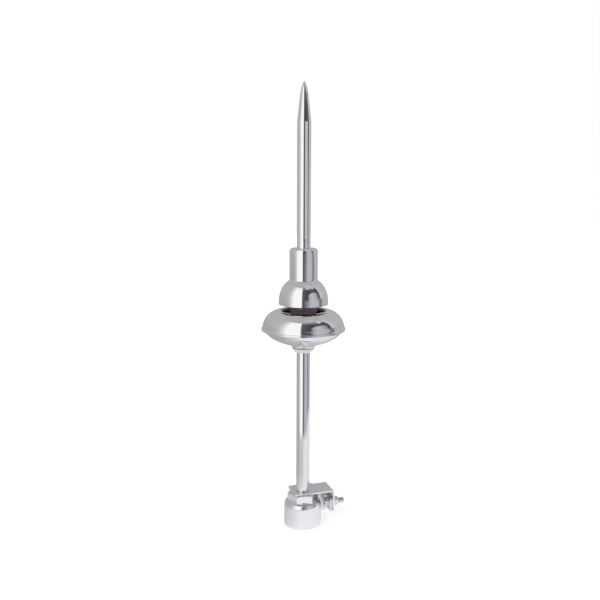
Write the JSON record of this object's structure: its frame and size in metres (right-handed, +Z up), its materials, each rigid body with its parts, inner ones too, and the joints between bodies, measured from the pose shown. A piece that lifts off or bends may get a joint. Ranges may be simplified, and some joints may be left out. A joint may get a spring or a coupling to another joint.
{
  "type": "lightning rod",
  "caption": "Pointed air terminal with a bell over an insulated lens-shaped head, a plain shaft, a mast adapter and a bolted down-conductor bracket.",
  "frame": {"origin": "on the axis at the mouth of the mast socket, the lowest face of the part", "axes": "+Z up along the rod towards its point, +X along the conductor bracket, +Y to the bracket's back web"},
  "size_m": [0.1285, 0.124, 0.6559],
  "materials": {
    "polished_steel": "mirror polished stainless steel",
    "satin_steel": "fine turned stainless steel",
    "bracket_steel": "rolled sheet, satin",
    "zinc_steel": "zinc plated",
    "black_insulator": "glossy moulded",
    "white_insulator": "smooth turned"
  },
  "bodies": {
    "root": {"captor_rod": "polished_steel", "deflector_bell": "polished_steel", "stack_nut": "zinc_steel", "stack_washer": "zinc_steel", "insulator_hub": "black_insulator", "upper_shell": "polished_steel", "lower_shell": "polished_steel", "neck_ring": "polished_steel", "lower_bush": "white_insulator", "main_shaft": "polished_steel", "adapter_body": "satin_steel", "conductor_bracket": "bracket_steel", "clamp_plate": "zinc_steel", "clamp_bolt": "zinc_steel", "clamp_washer": "zinc_steel", "lock_washer": "zinc_steel", "clamp_nut": "zinc_steel"}
  },
  "joints": []
}
